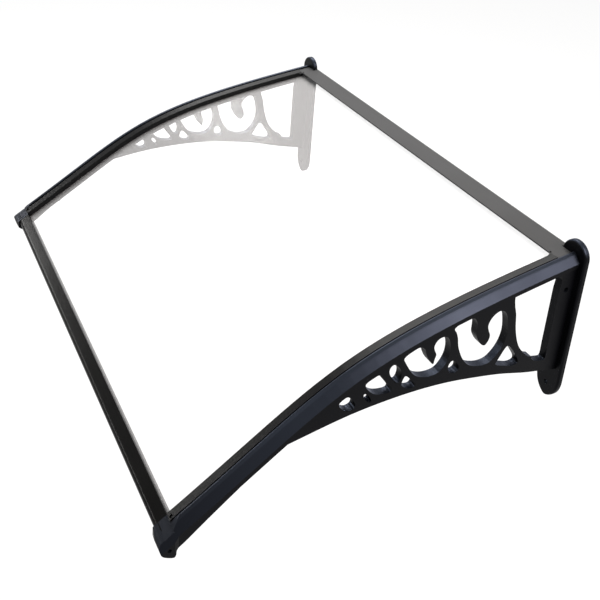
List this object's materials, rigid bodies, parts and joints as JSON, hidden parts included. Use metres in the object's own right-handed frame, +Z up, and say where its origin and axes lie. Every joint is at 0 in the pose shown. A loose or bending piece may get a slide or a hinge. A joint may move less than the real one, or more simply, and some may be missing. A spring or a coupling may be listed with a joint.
{
  "type": "door canopy",
  "caption": "Arched door canopy: a clear sheet on two mirror-image scroll brackets with a front bar and a rear wall bar, for fixing over an outside door.",
  "frame": {"origin": "mid-width on the rear bar's flat back face, which lies in the wall plane", "axes": "+X along the width to the right bracket, +Y into the wall, -Y the way the canopy reaches out, +Z up"},
  "size_m": [0.8166, 0.583, 0.2732],
  "materials": {
    "bracket_plastic": "satin black moulded plastic",
    "bar_paint": "satin dark paint",
    "clear_sheet": "clear solid sheet",
    "gasket_rubber": "matt",
    "screw_steel": "plain"
  },
  "bodies": {
    "root": {"right_bracket": "bracket_plastic", "left_bracket": "bracket_plastic", "roof_sheet": "clear_sheet", "front_bar": "bar_paint", "rear_bar": "bar_paint", "right_edge_strip": "bracket_plastic", "left_edge_strip": "bracket_plastic", "right_gasket": "gasket_rubber", "left_gasket": "gasket_rubber", "right_nose_screw": "screw_steel", "left_nose_screw": "screw_steel", "right_strip_screw_1": "screw_steel", "left_strip_screw_1": "screw_steel", "right_strip_screw_2": "screw_steel", "left_strip_screw_2": "screw_steel", "right_strip_screw_3": "screw_steel", "left_strip_screw_3": "screw_steel", "right_strip_screw_4": "screw_steel", "left_strip_screw_4": "screw_steel", "right_rear_bar_screw": "screw_steel", "left_rear_bar_screw": "screw_steel", "right_strip_end_screw": "bracket_plastic", "left_strip_end_screw": "bracket_plastic", "right_rear_corner_pin": "bracket_plastic", "left_rear_corner_pin": "bracket_plastic"}
  },
  "joints": []
}
